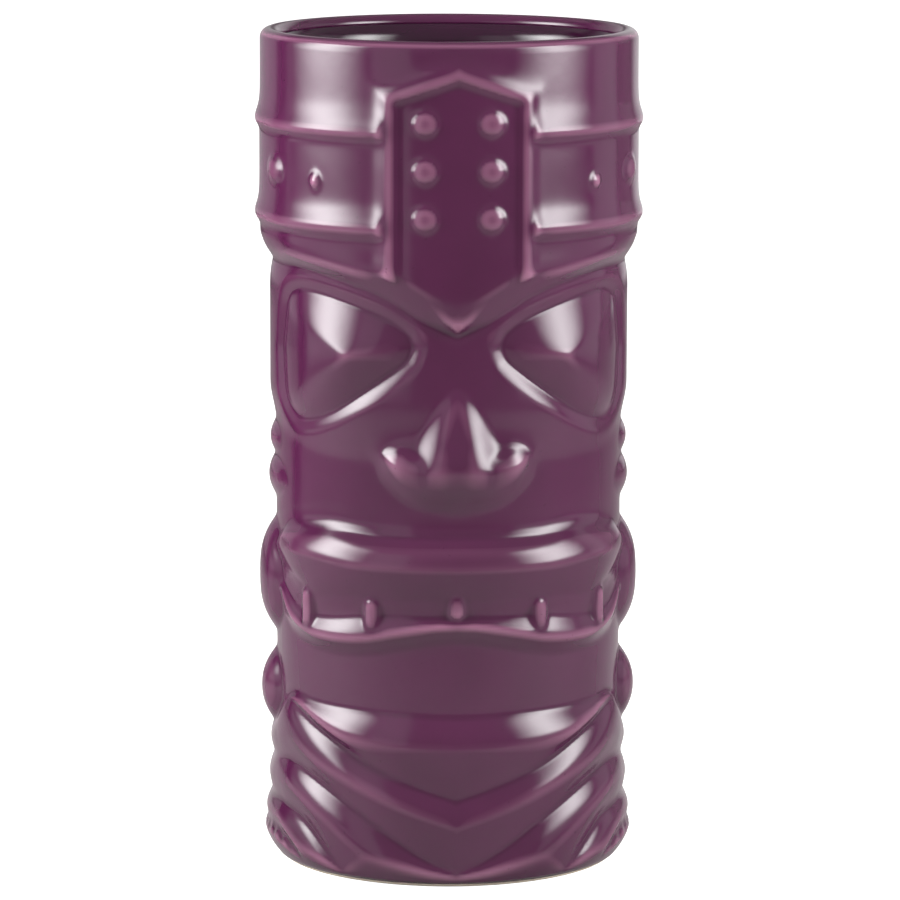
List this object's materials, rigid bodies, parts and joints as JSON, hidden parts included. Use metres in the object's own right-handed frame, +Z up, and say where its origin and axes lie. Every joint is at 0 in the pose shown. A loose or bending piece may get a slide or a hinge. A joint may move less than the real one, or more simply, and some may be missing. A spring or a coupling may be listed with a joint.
{
  "type": "tiki mug",
  "caption": "Tall cylindrical ceramic drinking mug carved in relief as a stylised face with headband, open at the top, free-standing on a foot ring.",
  "frame": {"origin": "centre of the foot's underside, where the mug stands", "axes": "+Z up along the mug's axis, the carved face looks along -Y, +X to the viewer's right"},
  "size_m": [0.0772, 0.0774, 0.1662],
  "materials": {
    "bare_clay": "unglazed fired stoneware, cream, matte",
    "outer_glaze": "glossy translucent purple glaze, pinker and thinner on raised edges, darker where it pools",
    "inner_glaze": "glossy purple liner glaze",
    "base_glaze": "glossy purple glaze inside the foot ring"
  },
  "bodies": {
    "root": {"clay_body": "bare_clay", "outer_glaze": "outer_glaze", "inner_glaze": "inner_glaze", "base_glaze": "base_glaze"}
  },
  "joints": []
}
